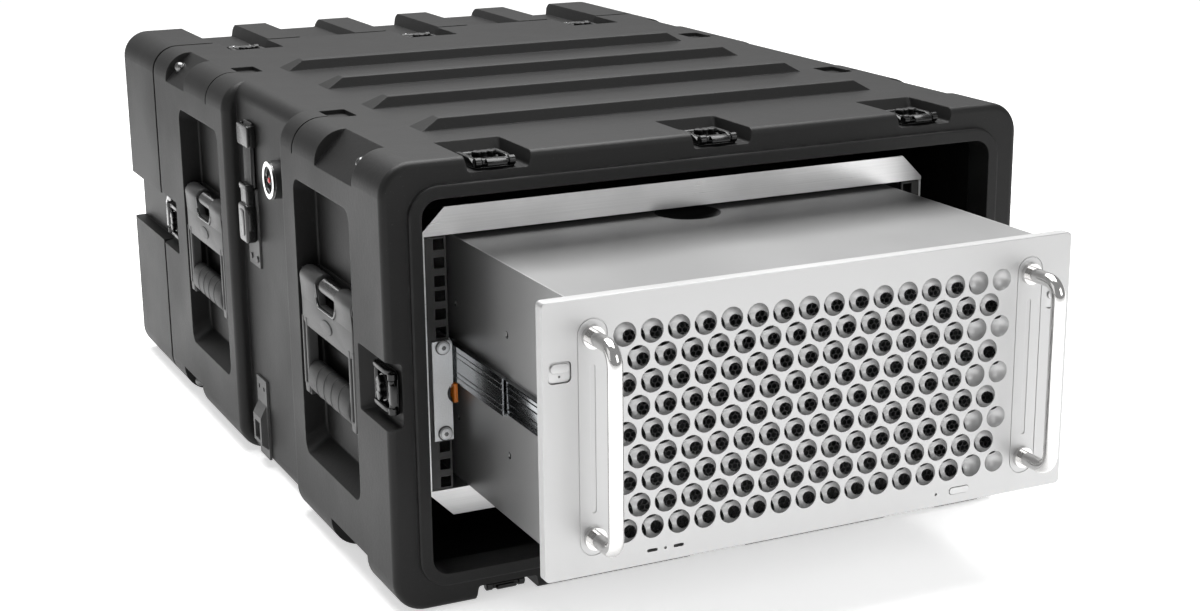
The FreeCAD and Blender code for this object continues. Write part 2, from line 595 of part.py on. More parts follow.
def slide_bracket_left():
    """Two-unit front bracket on the rail's face, its return leg, and the rear bracket."""
    x0, x1 = -HOLE_X - 9.5, -CHASSIS_HALF - SLIDE_GAP
    face = block(x0, x1 - 1.0, RAIL_Y - 2, RAIL_Y, BRACKET_Z0, BRACKET_Z1)
    moon = Part.makeCylinder(10.0, 4, V(x1 + 4.6, RAIL_Y - 3, BRACKET_Z0 + 41), V(0, 1, 0))
    leg = block(x1 - 1.6, x1, RAIL_Y + RAIL_T + 0.2, RAIL_Y + 120, SLIDE_Z0 - 6, SLIDE_Z1 + 6)
    tie = block(x1 - 1.6, x1, RAIL_Y - 2, RAIL_Y + RAIL_T + 1, SLIDE_Z0 - 2, SLIDE_Z1 + 4)
    holes = [rod((-HOLE_X, RAIL_Y - 4, z), (-HOLE_X, RAIL_Y + 1, z), 3.05) for z in bracket_screw_heights()]
    front = fuse([face, tie, leg]).cut([moon] + holes)
    rear = block(x1 - 1.6, x1, -RAIL_Y - 150, -RAIL_Y - 8, SLIDE_Z0 - 6, SLIDE_Z1 + 6)
    foot = block(x0, x1, -RAIL_Y - RAIL_T - 2, -RAIL_Y - RAIL_T, BRACKET_Z0, BRACKET_Z1)
    tail = block(x1 - 1.6, x1, -RAIL_Y - 20, -RAIL_Y - RAIL_T, SLIDE_Z0 - 6, SLIDE_Z1 + 6)
    return [front, fuse([rear, foot, tail])]


def bracket_screw_heights():
    return (RACK_Z0 + RACK_U + 6.35, RACK_Z0 + 2 * RACK_U + 38.1)


def bracket_screws_left():
    screws = []
    for z in bracket_screw_heights():
        head = rod((-HOLE_X, RAIL_Y - 2, z), (-HOLE_X, RAIL_Y - 4.2, z), 5.5)
        shank = rod((-HOLE_X, RAIL_Y - 2, z), (-HOLE_X, RAIL_Y + 10, z), 3.0)
        socket = rod((-HOLE_X, RAIL_Y - 2.8, z), (-HOLE_X, RAIL_Y - 5, z), 1.8)
        screws.append(fuse([head, shank]).cut(socket))
    return screws


def release_tab_left():
    """Orange lever beside the bracket that frees the slide."""
    x = -CHASSIS_HALF - SLIDE_GAP
    z = BRACKET_Z0 + 41
    front = RAIL_Y - 3.5
    pad = block(x, x + 3.8, front, RAIL_Y + 1.5, z - 8.5, z + 8.5)
    pad = soften(pad, 1.2, lambda b: b.YMax < front + 0.1)
    stem = block(x, x + 1.2, RAIL_Y + 1, RAIL_Y + 34, z - 5, z + 4)
    return fuse([pad, stem])


# ---------------------------------------------------------------- rack unit
def chassis_tray():
    y0, y1 = PANEL_BACK, PANEL_BACK + CHASSIS_L
    outside = block(-CHASSIS_HALF, CHASSIS_HALF, y0, y1, CHASSIS_Z0, CHASSIS_Z1)
    inside = block(-CHASSIS_HALF + SHEET, CHASSIS_HALF - SHEET, y0 - 1, y1 - SHEET,
                   CHASSIS_Z0 + SHEET, CHASSIS_Z1 + 1)
    return outside.cut(inside)


def chassis_cover():
    """Sheet lid between the sides, with a dished finger recess near the front."""
    y0, y1 = PANEL_BACK, PANEL_BACK + CHASSIS_L - SHEET
    x = CHASSIS_HALF - SHEET
    top = block(-x, x, y0, y1, CHASSIS_Z1 - SHEET, CHASSIS_Z1)
    recess_y = PANEL_BACK + 215.0
    centre = V(0, recess_y, CHASSIS_Z1 + RECESS_R - RECESS_D)
    dish = Part.makeSphere(RECESS_R, centre)
    bowl = Part.makeSphere(RECESS_R + 1.2, centre)
    under = block(-60, 60, recess_y - 60, recess_y + 60, CHASSIS_Z1 - 12, CHASSIS_Z1 - 0.5)
    pressed = bowl.common(under)
    return fuse([top, pressed]).cut(dish)


def grille_places():
    """Centres of the dishes on the front face, of those on the back face, and of the blind ones."""
    front, back, blind = [], [], []
    for row in range(GRILLE_ROWS):
        long_row = row % 2 == 0
        x0 = GRILLE_X0 if long_row else GRILLE_X0 + GRILLE_PITCH / 2
        z = GRILLE_Z0 - row * GRILLE_ROW
        count = GRILLE_COLS - 1
        front += [(x0 + col * GRILLE_PITCH, z) for col in range(count)]
        first = 0 if long_row else -1
        last = count - 1 if long_row else count
        back += [(x0 + (col + 0.5) * GRILLE_PITCH, z - GRILLE_ROW / 3) for col in range(first, last)]
        if long_row:
            blind.append((x0 + count * GRILLE_PITCH, z))
    return front, back, blind


def front_panel():
    z0 = (BODY_H - PANEL_H) / 2
    half = PANEL_W / 2
    plate = slab_y(-half, half, z0, z0 + PANEL_H, 4.0, PANEL_FRONT, PANEL_BACK)
    plate = plate.makeChamfer(0.7, end_edges(plate, PANEL_FRONT))
    # Dishes on the back sit between those on the front, and open into three of them each.
    front, back, blind = grille_places()
    cuts = [Part.makeSphere(DISH_R, V(x, PANEL_FRONT, z)) for x, z in front]
    cuts += [Part.makeSphere(DISH_R, V(x, PANEL_BACK, z)) for x, z in back]
    cuts += [Part.makeSphere(DISH_R, V(x, PANEL_FRONT - 3.0, z)) for x, z in blind]
    for x in (-150.4, -127.3):
        cuts.append(slab_y(x - 4.5, x + 4.5, 89.2, 91.8, 1.2, PANEL_FRONT - 1, PANEL_BACK + 1))
    for x in (-139.0, 113.9):
        cuts.append(rod((x, PANEL_FRONT - 1, 90.5), (x, PANEL_FRONT + 2, 90.5), 1.2))
    cuts.append(slab_y(127.0, 147.0, 87.6, 94.0, 3.1, PANEL_FRONT - 1, PANEL_BACK + 1))
    for side in (-1, 1):
        low, high = sorted((side * 236.5, side * 217.5))
        cuts.append(slab_y(low, high, 237.0, 254.0, 4.0, PANEL_FRONT - 1, PANEL_BACK + 1))
        for z in PULL_Z:
            cuts.append(rod((side * PULL_X, PANEL_FRONT - 1, z), (side * PULL_X, PANEL_BACK + 1, z), 3.0))
        cuts.append(inlay_ring(side))
    return plate.cut(cuts)


def inlay_ring(side):
    """Fine groove round each pull handle's feet, and the straight line inside it."""
    x = side * PULL_X
    outer = slab_y(x - 12.6, x + 12.6, 95.5, 284.5, 12.5, PANEL_FRONT - 1, PANEL_FRONT + 0.6)
    inner = slab_y(x - 11.8, x + 11.8, 96.3, 283.7, 11.7, PANEL_FRONT - 2, PANEL_FRONT + 2)
    line = slab_y(x - 2.2, x + 2.2, 130.0, 248.0, 2.1, PANEL_FRONT - 1, PANEL_FRONT + 0.6)
    return Part.makeCompound([outer.cut(inner), line])


def pull_handle(side):
    """Bent round bar with collars where it meets the panel."""
    x = side * PULL_X
    z0, z1 = PULL_Z
    bend = 14.0
    y0, y1 = PANEL_FRONT, PANEL_FRONT - PULL_REACH
    edges = [Part.LineSegment(V(x, y0, z0), V(x, y1 + bend, z0)).toShape()]
    k = bend * (1 - math.sqrt(0.5))
    edges.append(Part.Arc(V(x, y1 + bend, z0), V(x, y1 + k, z0 + k), V(x, y1, z0 + bend)).toShape())
    edges.append(Part.LineSegment(V(x, y1, z0 + bend), V(x, y1, z1 - bend)).toShape())
    edges.append(Part.Arc(V(x, y1, z1 - bend), V(x, y1 + k, z1 - k), V(x, y1 + bend, z1)).toShape())
    edges.append(Part.LineSegment(V(x, y1 + bend, z1), V(x, y0, z1)).toShape())
    circle = Part.Wire(Part.Circle(V(x, y0, z0), V(0, 1, 0), PULL_R).toShape())
    bar = Part.Wire(edges).makePipeShell([circle], True, True)
    collars = [rod((x, PANEL_FRONT, z), (x, PANEL_FRONT - 4, z), 9.0) for z in PULL_Z]
    studs = [rod((x, PANEL_FRONT, z), (x, PANEL_BACK, z), 2.95) for z in PULL_Z]
    return fuse([bar] + collars + studs)


def thumb_lock(side):
    """Small sliding catch plate in its rounded window."""
    low, high = sorted((side * 236.1, side * 217.9))
    plate = slab_y(low, high, 237.4, 253.6, 3.6, PANEL_FRONT + 0.8, PANEL_BACK - 1.5)
    mid = (low + high) / 2
    dot = rod((mid, PANEL_FRONT + 1, 243.0), (mid, PANEL_FRONT - 0.6, 243.0), 1.6)
    return fuse([plate, dot])


def power_button():
    return slab_y(127.4, 146.6, 88.0, 93.6, 2.7, PANEL_FRONT - 0.5, PANEL_FRONT + 5)


def mesh_plate():
    """Dark hexagonal mesh sheet behind the grille."""
    return block(-192, 192, PANEL_BACK, PANEL_BACK + 0.8, 96, 284)


# ---------------------------------------------------------------- write every node
def write_case():
    save("case_shell", [case_shell()])
    save("rear_lid", [rear_lid()])
    save("lid_gasket", [lid_gasket()])
    top = frame_plate_top()
    save("frame_plates", [top, mirror_z(top)])
    side = frame_side_left()
    save("frame_side_plates", [side, mirror_x(side)])
    rail = rack_rail_left()
    front_pair = [rail, mirror_x(rail)]
    save("rack_rails", front_pair + [mirror_y(r) for r in front_pair])
    rubber, studs = shock_mounts()
    save("shock_mounts", rubber)
    save("shock_mount_studs", studs)
    save("edge_bolts", edge_bolts())


def write_handles():
    for place, y in zip(("front", "rear"), HANDLE_Y):
        frame, grip = handle_left(y), grip_left(y)
        save("handle_%s_left" % place, [frame])
        save("handle_%s_right" % place, [mirror_x(frame)])
        save("grip_%s_left" % place, [grip])
        save("grip_%s_right" % place, [mirror_x(grip)])
    for name, make in (("handle_brackets", handle_bracket_left), ("handle_pins", handle_pin_left),
                       ("handle_springs", handle_spring_left)):
        left = [make(y) for y in HANDLE_Y]
        save(name, left + [mirror_x(s) for s in left])


def write_latches():
    save("latch_bases", at_every_latch(latch_base()))
    keepers = [k for k in at_every_latch(latch_keeper()) if k.BoundBox.YMin > 0]
    save("latch_keepers", keepers)
    names = ["top_left", "top_middle", "top_right", "bottom_left", "bottom_middle", "bottom_right",
             "left", "right"]
    names = ["front_" + n for n in names] + ["rear_" + n for n in names]
    for name, wing in zip(names, at_every_latch(latch_wing())):
        save("latch_wing_" + name, [wing])


def write_valley():
    body, ring, button = valve()
    save("valve_body", [body])
    save("valve_ring", [ring])
    save("valve_button", [button])
    loop, web, buckle, plate, hook = strap_fittings()
    save("strap_webbing", [web, mirror_x(web)])
    save("strap_buckles", [loop, buckle, mirror_x(loop), mirror_x(buckle)])
    save("strap_plates", plate + [mirror_x(s) for s in plate])
    save("strap_hooks", [hook, mirror_x(hook)])


def write_slides():
    for name, solid in zip(("slide_outer", "slide_middle", "slide_inner"), slides_left()):
        save(name, [solid, mirror_x(solid)])
    brackets = slide_bracket_left()
    save("slide_brackets", brackets + [mirror_x(s) for s in brackets])
    screws = bracket_screws_left()
    save("bracket_screws", screws + [mirror_x(s) for s in screws])
    tab = release_tab_left()
    save("release_tab_left", [tab])
    save("release_tab_right", [mirror_x(tab)])


def write_unit():
    save("chassis_tray", [chassis_tray()])
    save("chassis_cover", [chassis_cover()])
    save("front_panel", [front_panel()])
    save("panel_pulls", [pull_handle(-1), pull_handle(1)])
    save("grille_mesh", [mesh_plate()])
    save("thumb_lock_left", [thumb_lock(-1)])
    save("thumb_lock_right", [thumb_lock(1)])
    save("power_button", [power_button()])


write_case()
write_handles()
write_latches()
write_valley()
write_slides()
write_unit()
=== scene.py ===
"""Looks of a shock-mounted 19-inch rack case with a rack unit drawn out on its slides."""

import math

import bmesh
import bpy
from mathutils import Matrix, Vector


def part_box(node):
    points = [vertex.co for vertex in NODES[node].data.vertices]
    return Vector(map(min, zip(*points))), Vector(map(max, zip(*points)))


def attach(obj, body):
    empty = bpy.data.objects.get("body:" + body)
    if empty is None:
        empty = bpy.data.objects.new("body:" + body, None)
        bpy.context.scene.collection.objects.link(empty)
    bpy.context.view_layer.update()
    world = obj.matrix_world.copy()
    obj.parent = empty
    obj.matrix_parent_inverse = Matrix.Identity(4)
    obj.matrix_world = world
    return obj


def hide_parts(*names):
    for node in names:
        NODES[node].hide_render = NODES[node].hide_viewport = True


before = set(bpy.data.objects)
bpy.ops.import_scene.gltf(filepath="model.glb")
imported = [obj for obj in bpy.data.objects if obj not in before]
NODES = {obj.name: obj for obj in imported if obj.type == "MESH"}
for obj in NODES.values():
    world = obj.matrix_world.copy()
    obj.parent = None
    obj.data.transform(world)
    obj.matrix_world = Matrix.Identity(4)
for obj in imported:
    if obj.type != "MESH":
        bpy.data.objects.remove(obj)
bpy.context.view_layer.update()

MM = 0.001
SHELL_LOW, SHELL_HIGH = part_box("case_shell")
MID_Y = (SHELL_LOW.y + SHELL_HIGH.y) / 2          # middle of the case along Y
TO_ROW = Matrix.Translation((0, MID_Y, 0)) @ Matrix.Scale(MM, 4)
RACK_UNIT = 44.45                                 # one rack unit, in mm
RACK_MID = 190                                    # height of the middle of the rack bay, in mm
RACK_BOTTOM = RACK_MID - 111.125                  # two and a half rack units below it


# ---------------------------------------------------------------- material kit
class Recipe:
    """One material and short calls for its nodes. Textures run in object coordinates, in metres."""

    def __init__(self, name):
        self.material = bpy.data.materials.new(name)
        self.material.use_nodes = True
        self.tree = self.material.node_tree
        self.shader = self.tree.nodes["Principled BSDF"]
        self.place = self.node("ShaderNodeTexCoord").outputs["Object"]

    def node(self, kind, **settings):
        made = self.tree.nodes.new(kind)
        for key, value in settings.items():
            setattr(made, key, value)
        return made

    def link(self, source, target):
        self.tree.links.new(source, target)

    def put(self, socket, value):
        self.shader.inputs[socket].default_value = value

    def stretch(self, scale):
        mapping = self.node("ShaderNodeMapping")
        mapping.inputs["Scale"].default_value = scale
        self.link(self.place, mapping.inputs["Vector"])
        return mapping.outputs["Vector"]

    def noise(self, scale, detail=3.0, vector=None, rough=0.5):
        texture = self.node("ShaderNodeTexNoise")
        texture.inputs["Scale"].default_value = scale
        texture.inputs["Detail"].default_value = detail
        texture.inputs["Roughness"].default_value = rough
        self.link(vector or self.place, texture.inputs["Vector"])
        return texture.outputs["Fac"]

    def span(self, source, low, high, from_low=0.35, from_high=0.65):
        """Maps a factor onto the range low to high."""
        ramp = self.node("ShaderNodeMapRange")
        for socket, value in (("From Min", from_low), ("From Max", from_high),
                              ("To Min", low), ("To Max", high)):
            ramp.inputs[socket].default_value = value
        self.link(source, ramp.inputs["Value"])
        return ramp.outputs["Result"]

    def math(self, operation, a, b):
        made = self.node("ShaderNodeMath", operation=operation)
        for socket, value in zip(made.inputs, (a, b)):
            if isinstance(value, (int, float)):
                socket.default_value = value
            else:
                self.link(value, socket)
        return made.outputs[0]

    def mix(self, factor, a, b):
        made = self.node("ShaderNodeMix", data_type="RGBA")
        if isinstance(factor, (int, float)):
            made.inputs[0].default_value = factor
        else:
            self.link(factor, made.inputs[0])
        for socket, value in ((made.inputs[6], a), (made.inputs[7], b)):
            if isinstance(value, tuple):
                socket.default_value = (*value, 1.0)
            else:
                self.link(value, socket)
        return made.outputs[2]

    def bump(self, height, depth_m, strength=1.0, edge_m=0.0):
        """Bump of a real depth in metres over edges rounded by edge_m."""
        bump = self.node("ShaderNodeBump")
        bump.inputs["Strength"].default_value = strength
        bump.inputs["Distance"].default_value = depth_m
        self.link(height, bump.inputs["Height"])
        if edge_m:
            bevel = self.node("ShaderNodeBevel", samples=4)
            bevel.inputs["Radius"].default_value = edge_m
            self.link(bevel.outputs["Normal"], bump.inputs["Normal"])
        self.link(bump.outputs["Normal"], self.shader.inputs["Normal"])

    def edge_mask(self, radius_m):
        """1 along convex and concave edges, 0 on open faces."""
        bevel = self.node("ShaderNodeBevel", samples=4)
        bevel.inputs["Radius"].default_value = radius_m
        normal = self.node("ShaderNodeNewGeometry").outputs["Normal"]
        dot = self.node("ShaderNodeVectorMath", operation="DOT_PRODUCT")
        self.link(bevel.outputs["Normal"], dot.inputs[0])
        self.link(normal, dot.inputs[1])
        return self.span(dot.outputs["Value"], 1.0, 0.0, 0.80, 0.995)


def rgb(level, warmth=0.0):
    """A grey of a given reflectance, a little warm or cool."""
    return (level * (1 + warmth), level, level * (1 - warmth))


def moulded_shell(name):
    """Rotomoulded polyethylene: pebbled skin, cloudy gloss, scuffed edges and fine scratches."""
    r = Recipe(name)
    clouds = r.noise(7.0, 4.0)
    pebble = r.noise(1500.0, 2.0)
    orange_peel = r.noise(260.0, 2.0)
    dark, light = rgb(0.0032, 0.02), rgb(0.0058, 0.02)
    base = r.mix(r.span(clouds, 0, 1), dark, light)
    specks = r.span(r.noise(900.0, 1.0), 0, 0.5, 0.74, 0.80)
    base = r.mix(specks, base, rgb(0.06))
    scuff = r.math("MULTIPLY", r.edge_mask(0.004), r.span(r.noise(90.0, 6.0), 0.0, 0.55, 0.45, 0.70))
    r.link(r.mix(scuff, base, rgb(0.035)), r.shader.inputs["Base Color"])
    r.link(r.span(clouds, 0.47, 0.56), r.shader.inputs["Roughness"])
    r.put("Specular IOR Level", 0.26)
    height = r.math("ADD", r.math("MULTIPLY", pebble, 0.5), orange_peel)
    r.bump(height, 0.00022, 0.55, 0.0012)
    return r.material


def moulded_plastic(name, level, rough, warmth=0.0, grain=0.00006, edge=0.0005):
    """Injection-moulded plastic with a fine eroded texture."""
    r = Recipe(name)
    clouds = r.noise(30.0, 3.0)
    base = r.mix(r.span(clouds, 0, 1), rgb(level * 0.93, warmth), rgb(level * 1.07, warmth))
    worn = r.math("MULTIPLY", r.edge_mask(0.0015), r.span(r.noise(160.0, 5.0), 0.0, 0.5, 0.45, 0.7))
    r.link(r.mix(worn, base, rgb(min(level * 1.6, 0.9), warmth)), r.shader.inputs["Base Color"])
    r.link(r.span(clouds, rough - 0.04, rough + 0.05), r.shader.inputs["Roughness"])
    r.bump(r.noise(2600.0, 2.0), grain, 0.5, edge)
    return r.material


def coloured_plastic(name, colour, rough):
    r = Recipe(name)
    dark = tuple(c * 0.9 for c in colour)
    r.link(r.mix(r.span(r.noise(120.0), 0, 1), dark, colour), r.shader.inputs["Base Color"])
    r.put("Roughness", rough)
    r.put("Coat Weight", 0.15)
    r.bump(r.noise(2500.0, 1.0), 0.00003, 0.4, 0.0003)
    return r.material


def rubber(name, level):
    r = Recipe(name)
    dusty = r.span(r.noise(45.0, 5.0), 0, 1, 0.4, 0.7)
    r.link(r.mix(dusty, rgb(level), rgb(level * 1.9)), r.shader.inputs["Base Color"])
    r.link(r.span(r.noise(60.0), 0.62, 0.80), r.shader.inputs["Roughness"])
    r.bump(r.noise(1800.0, 3.0), 0.00010, 0.6, 0.0004)
    return r.material


def metal(name, level, rough, warmth=0.0, brush=None, streak=0.10, edge=0.0002):
    """Bare metal. brush gives the scale of the streaks along each axis, small along the grain."""
    r = Recipe(name)
    if brush:
        lines = r.noise(1.0, 4.0, r.stretch(brush), 0.65)
        depth = 0.000012
    else:
        lines = r.noise(2200.0, 2.0)
        depth = 0.000015
    stains = r.noise(14.0, 4.0)
    darker, lighter = rgb(level * (1 - streak), warmth), rgb(min(level * (1 + streak), 1), warmth)
    tone = r.mix(r.span(lines, 0, 1), darker, lighter)
    faded = r.mix(r.span(stains, 0, 0.35), tone, rgb(level * 0.86, warmth))
    r.link(faded, r.shader.inputs["Base Color"])
    r.put("Metallic", 1.0)
    r.link(r.span(r.math("MULTIPLY", r.math("ADD", lines, stains), 0.5), rough - 0.06, rough + 0.08),
           r.shader.inputs["Roughness"])
    r.bump(lines, depth, 0.6, edge)
    return r.material


def anodised(name, level, rough, warmth=0.0):
    """Bead-blasted anodised aluminium: a satin metal under a faint clear skin."""
    r = Recipe(name)
    clouds = r.noise(4.0, 3.0)
    grain = r.noise(2600.0, 2.0)
    tone = r.mix(r.span(clouds, 0, 1), rgb(level * 0.97, warmth), rgb(level * 1.02, warmth))
    tone = r.mix(r.span(grain, 0, 0.25), tone, rgb(level * 0.90, warmth))
    r.link(tone, r.shader.inputs["Base Color"])
    r.put("Metallic", 0.72)
    r.link(r.span(clouds, rough - 0.03, rough + 0.03), r.shader.inputs["Roughness"])
    r.bump(grain, 0.00002, 0.5, 0.0003)
    return r.material


def painted(name, level, rough, warmth=0.0):
    """Powder coat: slight orange peel, chips of bare metal along the edges."""
    r = Recipe(name)
    peel = r.noise(700.0, 2.0)
    chips = r.math("MULTIPLY", r.edge_mask(0.0008), r.span(r.noise(300.0, 5.0), 0, 0.7, 0.55, 0.7))
    base = r.mix(r.span(r.noise(20.0), 0, 1), rgb(level * 0.92, warmth), rgb(level * 1.08, warmth))
    r.link(r.mix(chips, base, rgb(0.3)), r.shader.inputs["Base Color"])
    r.put("Roughness", rough)
    r.bump(peel, 0.00005, 0.6, 0.0004)
    return r.material


def webbing_weave(name):
    """Flat woven strap: ribs across the strap and a twill running through them."""
    r = Recipe(name)
    ribs = r.node("ShaderNodeTexWave", wave_type="BANDS", bands_direction="Z")
    ribs.inputs["Scale"].default_value = 170.0
    ribs.inputs["Distortion"].default_value = 0.6
    r.link(r.place, ribs.inputs["Vector"])
    twill = r.node("ShaderNodeTexWave", wave_type="BANDS", bands_direction="DIAGONAL")
    twill.inputs["Scale"].default_value = 240.0
    r.link(r.place, twill.inputs["Vector"])
    lifted = r.math("ADD", r.math("MULTIPLY", twill.outputs["Fac"], 0.5), 0.5)
    weave = r.math("MULTIPLY", ribs.outputs["Fac"], lifted)
    r.link(r.mix(weave, rgb(0.012), rgb(0.045)), r.shader.inputs["Base Color"])
    r.put("Roughness", 0.78)
    r.put("Sheen Weight", 0.25)
    r.bump(weave, 0.0004, 0.9)
    return r.material


ALONG_X = (3.0, 900.0, 900.0)
ALONG_Y = (900.0, 3.0, 900.0)
SHELL = moulded_shell("shell_plastic")
SEAL = rubber("seal_rubber", 0.012)
SHOCK = rubber("shock_rubber", 0.016)
STUD = metal("stud_steel", 0.55, 0.30)
SPRING = metal("spring_steel", 0.16, 0.28)
FRAME = metal("frame_aluminium", 0.72, 0.33, brush=ALONG_X, streak=0.06)
RAIL = painted("rail_black", 0.022, 0.42, 0.03)
SLIDE = metal("slide_zinc", 0.36, 0.16, -0.03, brush=ALONG_Y, streak=0.08)
BRACKET = metal("bracket_zinc", 0.74, 0.42, -0.01)
BOLT = metal("bolt_black", 0.16, 0.25)
HANDLE = moulded_plastic("handle_grey", 0.034, 0.46)
GRIP = moulded_plastic("grip_rubber", 0.018, 0.55, grain=0.0001)
BRACKET_BLACK = painted("bracket_black", 0.02, 0.40)
LATCH = metal("latch_black", 0.035, 0.24, streak=0.05)
KEEPER = metal("keeper_steel", 0.46, 0.26)
VALVE = moulded_plastic("valve_black", 0.012, 0.40)
VALVE_RING = metal("valve_chrome", 0.85, 0.12)
VALVE_RED = coloured_plastic("valve_red", (0.50, 0.015, 0.02), 0.3)
WEBBING = webbing_weave("webbing_black")
BUCKLE = moulded_plastic("buckle_black", 0.005, 0.26)
PLATE = painted("plate_grey", 0.055, 0.45)
TAB = coloured_plastic("tab_orange", (0.75, 0.20, 0.012), 0.38)
CHASSIS = anodised("chassis_silver", 0.42, 0.42)
COVER = anodised("cover_grey", 0.31, 0.44)
PANEL = anodised("panel_silver", 0.50, 0.46)
PULL = metal("pull_chrome", 0.66, 0.08, 0.01)
MESH_BLACK = painted("mesh_black", 0.012, 0.5)
BUTTON = anodised("button_silver", 0.52, 0.42)

NODE_MATERIALS = {
    "case_shell": SHELL, "rear_lid": SHELL, "lid_gasket": SEAL, "shock_mounts": SHOCK,
    "shock_mount_studs": STUD, "handle_pins": STUD, "handle_springs": SPRING, "frame_plates": FRAME,
    "frame_side_plates": FRAME, "rack_rails": RAIL, "slide_outer": SLIDE, "slide_middle": SLIDE,
    "slide_inner": SLIDE, "slide_brackets": BRACKET, "bracket_screws": BRACKET, "edge_bolts": BOLT,
    "handle_brackets": BRACKET_BLACK, "latch_bases": LATCH, "latch_keepers": KEEPER, "valve_body": VALVE,
    "valve_ring": VALVE_RING, "valve_button": VALVE_RED, "strap_webbing": WEBBING, "strap_buckles": BUCKLE,
    "strap_plates": PLATE, "strap_hooks": PLATE, "release_tab_left": TAB, "release_tab_right": TAB,
    "chassis_tray": CHASSIS, "chassis_cover": COVER, "front_panel": PANEL, "panel_pulls": PULL,
    "grille_mesh": MESH_BLACK, "thumb_lock_left": PANEL, "thumb_lock_right": PANEL, "power_button": BUTTON,
}
for node_name, node_object in NODES.items():
    if node_name.startswith("handle_front") or node_name.startswith("handle_rear"):
        chosen = HANDLE
    elif node_name.startswith("grip_"):
        chosen = GRIP
    elif node_name.startswith("latch_wing"):
        chosen = LATCH
    else:
        chosen = NODE_MATERIALS[node_name]
    if node_object.material_slots:
        node_object.material_slots[0].material = chosen
    else:
        node_object.data.materials.append(chosen)


# ---------------------------------------------------------------- piece kit, sizes in millimetres
class Solids:
    """Closed solids gathered into one mesh."""

    def __init__(self):
        self.bm = bmesh.new()

    def take(self, part, bevel=0.0, steps=2, turn=None):
        """Adds a solid after rounding its sharp edges and turning it."""
        bmesh.ops.recalc_face_normals(part, faces=part.faces)
        if bevel:
            sharp = [e for e in part.edges if e.calc_face_angle(0.0) > 0.6]
            bmesh.ops.bevel(part, geom=sharp, offset=bevel, segments=steps, profile=0.5, affect="EDGES",
                            clamp_overlap=True)
        if turn:
            part.transform(turn)
        mesh = bpy.data.meshes.new("part")
        part.to_mesh(mesh)
        part.free()
        self.bm.from_mesh(mesh)
        bpy.data.meshes.remove(mesh)

    def prism(self, outline, axis, low, high, bevel=0.0, steps=2, turn=None):
        """A 2-D outline drawn out along an axis from low to high."""
        place = {"X": lambda u, v, a: (a, u, v), "Y": lambda u, v, a: (u, a, v),
                 "Z": lambda u, v, a: (u, v, a)}[axis]
        part = bmesh.new()
        rings = [[part.verts.new(place(u, v, a)) for u, v in outline] for a in (low, high)]
        part.faces.new(rings[0])
        part.faces.new(rings[1][::-1])
        count = len(outline)
        for i in range(count):
            k = (i + 1) % count
            part.faces.new((rings[0][i], rings[0][k], rings[1][k], rings[1][i]))
        self.take(part, bevel, steps, turn)

    def block(self, x0, x1, y0, y1, z0, z1, bevel=0.0, steps=2, turn=None):
        self.prism([(x0, y0), (x1, y0), (x1, y1), (x0, y1)], "Z", z0, z1, bevel, steps, turn)

    def loft(self, rings):
        """Skin over rings of points, closed at both ends."""
        part = bmesh.new()
        made = [[part.verts.new(p) for p in ring] for ring in rings]
        for a, b in zip(made, made[1:]):
            for i in range(len(a)):
                k = (i + 1) % len(a)
                part.faces.new((a[i], a[k], b[k], b[i]))
        part.faces.new(made[0][::-1])
        part.faces.new(made[-1])
        self.take(part)

    def lathe(self, profile, centre, axis, steps=32):
        """A profile of (radius, height) turned about an axis through centre."""
        turn = Vector((0, 0, 1)).rotation_difference(Vector(axis)).to_matrix()
        rings = []
        for radius, height in profile:
            ring = []
            for i in range(steps):
                t = 2 * math.pi * i / steps
                spoke = Vector((radius * math.cos(t), radius * math.sin(t), height))
                ring.append(Vector(centre) + turn @ spoke)
            rings.append(ring)
        self.loft(rings)

    def tube(self, path, radius, steps=12):
        """A round bar along a path."""
        path = [Vector(p) for p in path]
        rings = []
        for i, point in enumerate(path):
            ahead = (path[min(i + 1, len(path) - 1)] - path[max(i - 1, 0)]).normalized()
            turn = ahead.to_track_quat("Z", "Y").to_matrix()
            rings.append([point + turn @ Vector((radius * math.cos(t), radius * math.sin(t), 0))
                          for t in (2 * math.pi * k / steps for k in range(steps))])
        self.loft(rings)

    def mesh(self, name, material, angle=32):
        bmesh.ops.recalc_face_normals(self.bm, faces=self.bm.faces)
        mesh = bpy.data.meshes.new(name)
        self.bm.to_mesh(mesh)
        self.bm.free()
        mesh.materials.append(material)
        mesh.shade_smooth()
        mesh.set_sharp_from_angle(angle=math.radians(angle))
        return mesh


def add_piece(name, mesh, body, replaced=(), place=TO_ROW):
    piece = bpy.data.objects.new(name, mesh)
    bpy.context.scene.collection.objects.link(piece)
    piece.matrix_world = place
    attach(piece, body)
    for node in replaced:
        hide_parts(node)
    return piece


def rounded(x0, x1, y0, y1, radius, steps=5):
    """Outline of a rectangle with rounded corners."""
    points = []
    for cx, cy, start in ((x1, y1, 0), (x0, y1, 90), (x0, y0, 180), (x1, y0, 270)):
        cx += -radius if cx == x1 else radius
        cy += -radius if cy == y1 else radius
        for i in range(steps + 1):
            t = math.radians(start + 90 * i / steps)
            points.append((cx + radius * math.cos(t), cy + radius * math.sin(t)))
    return points


def oval(centre, half_u, half_v, steps=40):
    return [(centre[0] + half_u * math.cos(2 * math.pi * i / steps),
             centre[1] + half_v * math.sin(2 * math.pi * i / steps)) for i in range(steps)]


# ---------------------------------------------------------------- twist latches
# Drawn on the pocket floor: X across, Y towards the rim, Z out of the pocket.
WING_LIFT = 3.6        # the CAD wing's underside above the pocket floor
KEEPER_REACH = 30.8    # from the latch's centre to the rim


